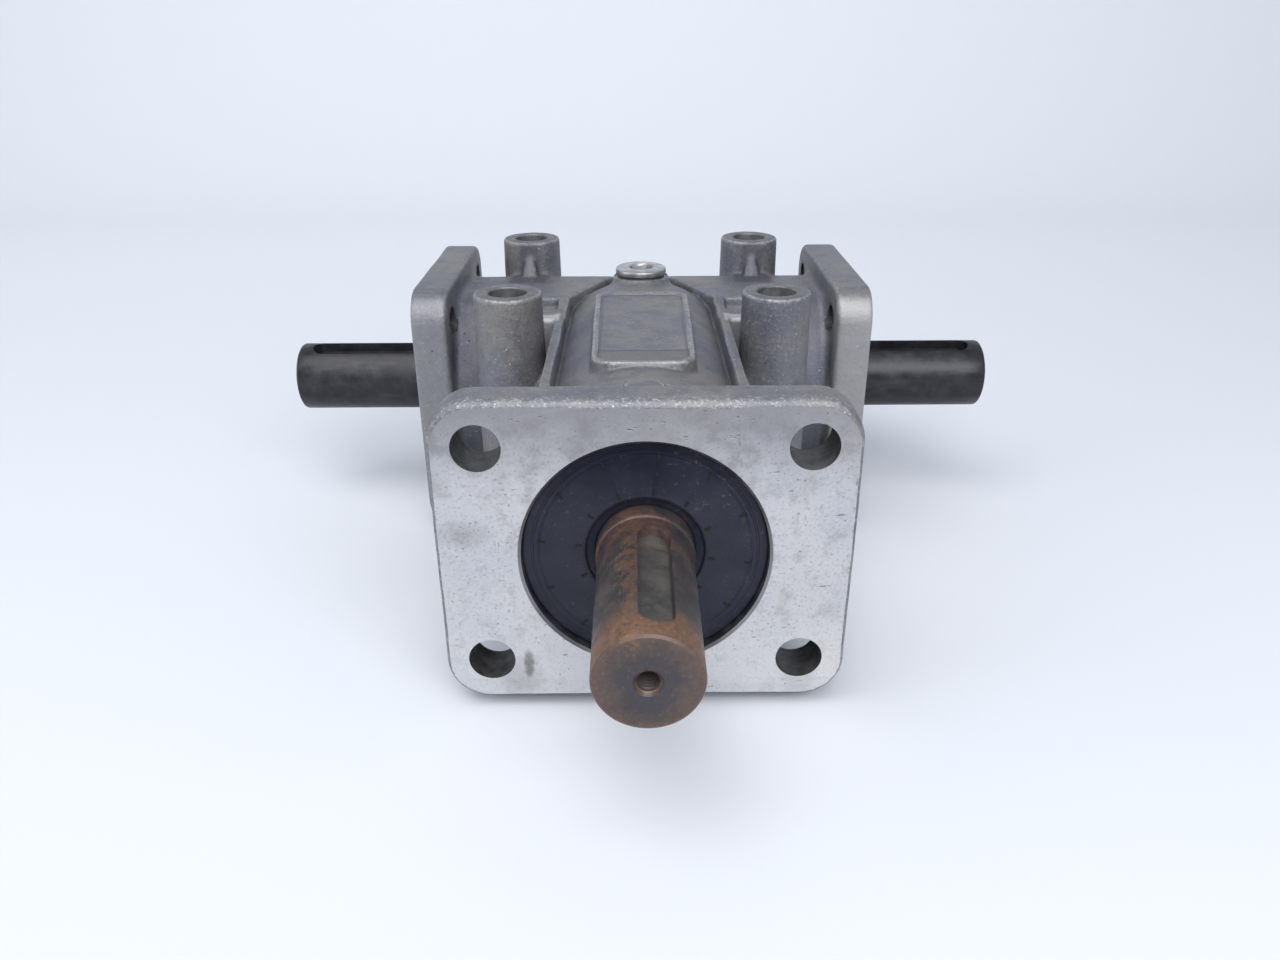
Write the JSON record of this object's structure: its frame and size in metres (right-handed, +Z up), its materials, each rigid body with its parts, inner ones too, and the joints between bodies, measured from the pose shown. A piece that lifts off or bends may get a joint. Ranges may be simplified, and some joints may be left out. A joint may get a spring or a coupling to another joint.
{
  "type": "right-angle bevel gearbox",
  "caption": "Cast right-angle bevel gearbox with a flanged front input shaft, a through cross shaft with keyed ends, side flanges and four foot posts with bolt holes.",
  "frame": {"origin": "centre of the four foot bolts on the resting plane under the posts; the shaft axes cross 45 mm above it and 12.2 mm behind it", "axes": "+Z up, the front input shaft leaves along -Y, the cross shaft lies along X"},
  "size_m": [0.25, 0.2281, 0.09],
  "materials": {
    "cast_housing": "as-cast, soiled grey, milled flange faces",
    "plug_steel": "worn zinc plate",
    "washer_metal": "dull",
    "seal_rubber": "oily, dark blue-black",
    "spring_steel": "dark phosphate",
    "bearing_steel": "ground and oiled",
    "ball_steel": "polished",
    "cage_brass": "machined",
    "shaft_rusted": "surface rust, brown with orange patches",
    "shaft_dark": "dark oxide film, oily",
    "gear_steel": "cut and hardened, oiled",
    "key_steel": "bright drawn",
    "shim_steel": "rolled"
  },
  "bodies": {
    "gearbox": {"housing": "cast_housing", "filler_plug": "plug_steel", "filler_washer": "washer_metal", "drain_plug": "plug_steel", "drain_washer": "washer_metal", "input_seal": "seal_rubber", "left_seal": "seal_rubber", "right_seal": "seal_rubber", "input_seal_spring": "spring_steel", "left_seal_spring": "spring_steel", "right_seal_spring": "spring_steel", "input_bore_ring": "spring_steel", "left_bore_ring": "spring_steel", "right_bore_ring": "spring_steel", "front_bearing_outer": "bearing_steel", "rear_bearing_outer": "bearing_steel", "left_bearing_outer": "bearing_steel", "right_bearing_outer": "bearing_steel"},
    "input": {"input_shaft": "shaft_rusted", "input_pinion": "gear_steel", "pinion_key": "key_steel", "pinion_snap_ring": "spring_steel", "pinion_spacer": "key_steel", "pinion_shim": "shim_steel", "input_spacer_sleeve": "key_steel", "input_shaft_ring": "spring_steel", "front_bearing_inner": "bearing_steel", "rear_bearing_inner": "bearing_steel"},
    "output": {"cross_shaft": "shaft_dark", "cross_gear": "gear_steel", "gear_key": "key_steel", "gear_snap_ring": "spring_steel", "gear_spacer": "key_steel", "gear_shim": "shim_steel", "left_shaft_ring": "spring_steel", "left_bearing_inner": "bearing_steel", "right_bearing_inner": "bearing_steel"},
    "front_cage": {"front_bearing_balls": "ball_steel", "front_bearing_cage": "cage_brass"},
    "rear_cage": {"rear_bearing_balls": "ball_steel", "rear_bearing_cage": "cage_brass"},
    "left_cage": {"left_bearing_balls": "ball_steel", "left_bearing_cage": "cage_brass"},
    "right_cage": {"right_bearing_balls": "ball_steel", "right_bearing_cage": "cage_brass"}
  },
  "joints": [
    {"name": "input_spin", "type": "hinge", "parent": "gearbox", "child": "input", "pos_m": [0, 0.0122, 0.045], "axis": [0, 1, 0], "continuous": true},
    {"name": "output_spin", "type": "hinge", "parent": "gearbox", "child": "output", "pos_m": [0, 0.0122, 0.045], "axis": [1, 0, 0], "continuous": true},
    {"name": "front_cage_spin", "type": "hinge", "parent": "gearbox", "child": "front_cage", "pos_m": [0, -0.1005, 0.045], "axis": [0, 1, 0], "continuous": true},
    {"name": "rear_cage_spin", "type": "hinge", "parent": "gearbox", "child": "rear_cage", "pos_m": [0, -0.0413, 0.045], "axis": [0, 1, 0], "continuous": true},
    {"name": "left_cage_spin", "type": "hinge", "parent": "gearbox", "child": "left_cage", "pos_m": [-0.0514, 0.0122, 0.045], "axis": [1, 0, 0], "continuous": true},
    {"name": "right_cage_spin", "type": "hinge", "parent": "gearbox", "child": "right_cage", "pos_m": [0.0514, 0.0122, 0.045], "axis": [1, 0, 0], "continuous": true}
  ],
  "couplings": [
    {"joint": "output_spin", "follows": "input_spin", "ratio": 1},
    {"joint": "front_cage_spin", "follows": "input_spin", "ratio": 0.3705},
    {"joint": "rear_cage_spin", "follows": "input_spin", "ratio": 0.3705},
    {"joint": "left_cage_spin", "follows": "input_spin", "ratio": 0.3982},
    {"joint": "right_cage_spin", "follows": "input_spin", "ratio": 0.3982}
  ]
}
